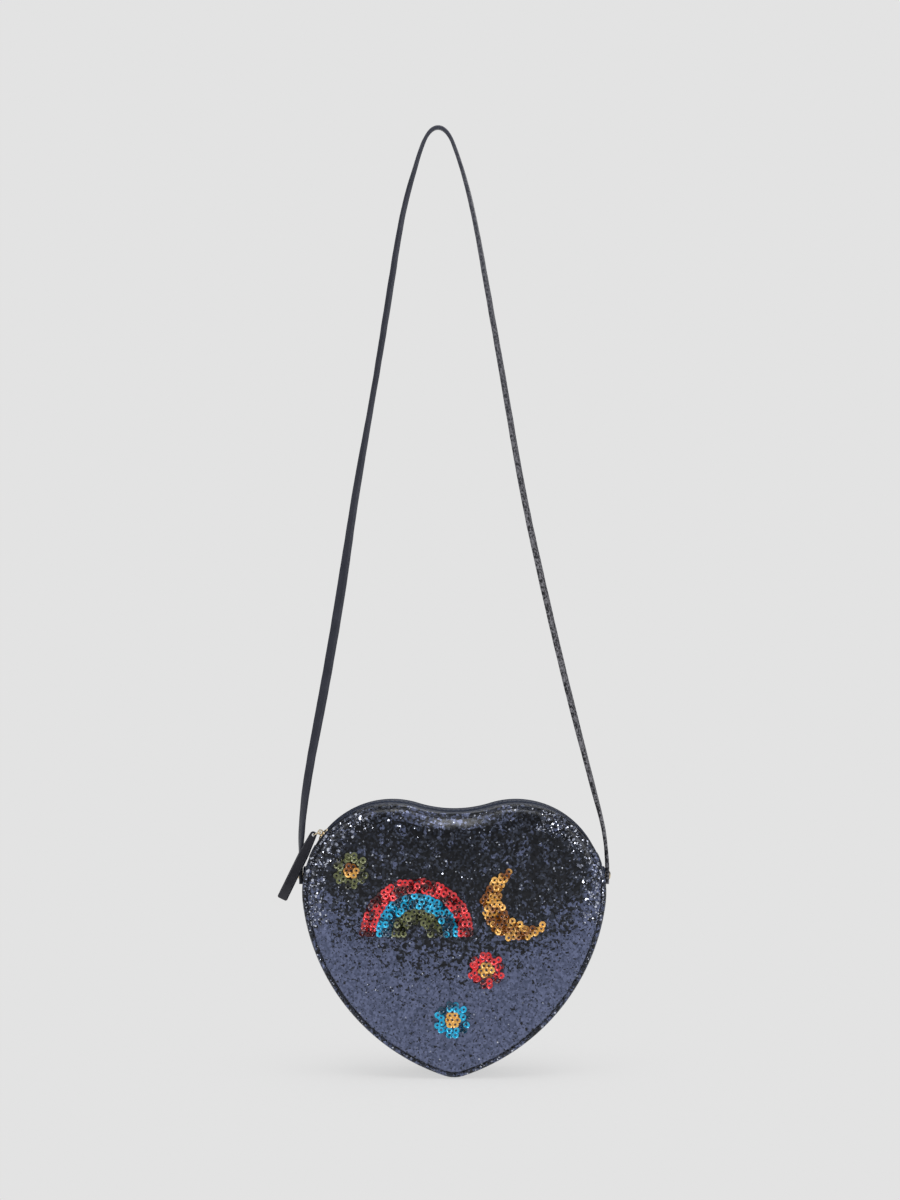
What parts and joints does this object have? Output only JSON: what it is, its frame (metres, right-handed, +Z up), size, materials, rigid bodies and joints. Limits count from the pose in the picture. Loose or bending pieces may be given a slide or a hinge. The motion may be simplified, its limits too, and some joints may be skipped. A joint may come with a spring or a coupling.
{
  "type": "heart shaped purse",
  "caption": "Heart shaped shoulder purse: padded glitter front with sequin motifs, zipped gusset that opens at the top, sliding zip pull and a long flat strap riveted to its sides.",
  "frame": {"origin": "underside of the strap at its highest point, where a hook or a hand holds it", "axes": "+Z up, front of the purse towards -Y, +X to the right as the front is seen"},
  "size_m": [0.1997, 0.0508, 0.5684],
  "materials": {
    "glitter": "gloss",
    "foam": "matte",
    "lining": "satin",
    "board": "matte",
    "navy_hide": "satin",
    "strap_hide": "satin",
    "pull_hide": "satin",
    "zip_tape": "matte",
    "zip_teeth": "satin",
    "gold_metal": "polished",
    "sequin_gold": "gloss",
    "sequin_red": "gloss",
    "sequin_cyan": "gloss",
    "sequin_olive": "gloss"
  },
  "bodies": {
    "strap": {"shoulder_strap": "strap_hide"},
    "bag": {"front_panel_lower": "glitter", "front_foam_lower": "foam", "front_lining_lower": "lining", "back_panel": "navy_hide", "back_board": "board", "back_lining": "lining", "gusset_band": "navy_hide", "gusset_lining": "lining", "zip_facing_back": "navy_hide", "zip_facing_front_end": "navy_hide", "zip_tape_back": "zip_tape", "zip_tape_front_end": "zip_tape", "zip_teeth_back": "zip_teeth", "zip_teeth_front_end": "zip_teeth", "zip_stop_left": "gold_metal", "zip_end_tab_left": "navy_hide", "zip_stop_right": "gold_metal", "zip_end_tab_right": "navy_hide", "strap_patch_left": "navy_hide", "strap_rivet_left": "gold_metal", "strap_patch_right": "navy_hide", "strap_rivet_right": "gold_metal", "moon_sequins": "sequin_gold", "arch_sequins_red": "sequin_red", "arch_sequins_cyan": "sequin_cyan", "arch_sequins_olive": "sequin_olive", "blossom_red": "sequin_red", "blossom_cyan": "sequin_cyan", "blossom_olive": "sequin_olive"},
    "front_flap": {"front_panel_flap": "glitter", "front_foam_flap": "foam", "front_lining_flap": "lining", "zip_facing_front": "navy_hide", "zip_tape_front": "zip_tape", "zip_teeth_front": "zip_teeth"},
    "slider": {"slider_body": "gold_metal", "slider_lug": "gold_metal"},
    "pull": {"pull_ring": "gold_metal", "leather_pull": "pull_hide"}
  },
  "joints": [
    {"name": "bag_swing", "type": "hinge", "parent": "strap", "child": "bag", "pos_m": [0.0098, 0, -0.44875], "axis": [1, 0, 0], "range_deg": [-2.5, 60]},
    {"name": "mouth_open", "type": "hinge", "parent": "bag", "child": "front_flap", "pos_m": [0.01578, -0.0303, -0.42672], "axis": [0.9945, 0, -0.1043], "range_deg": [0, 45], "stiffness_Nm_per_rad": 0.02},
    {"name": "zip_travel", "type": "hinge", "parent": "bag", "child": "slider", "pos_m": [-0.0277, -0.0031, -0.4568], "axis": [0, 1, 0], "range_deg": [0, 60]},
    {"name": "pull_swing", "type": "hinge", "parent": "slider", "child": "pull", "pos_m": [-0.07058, -0.0031, -0.42268], "axis": [0, 1, 0], "range_deg": [0, 140]}
  ]
}
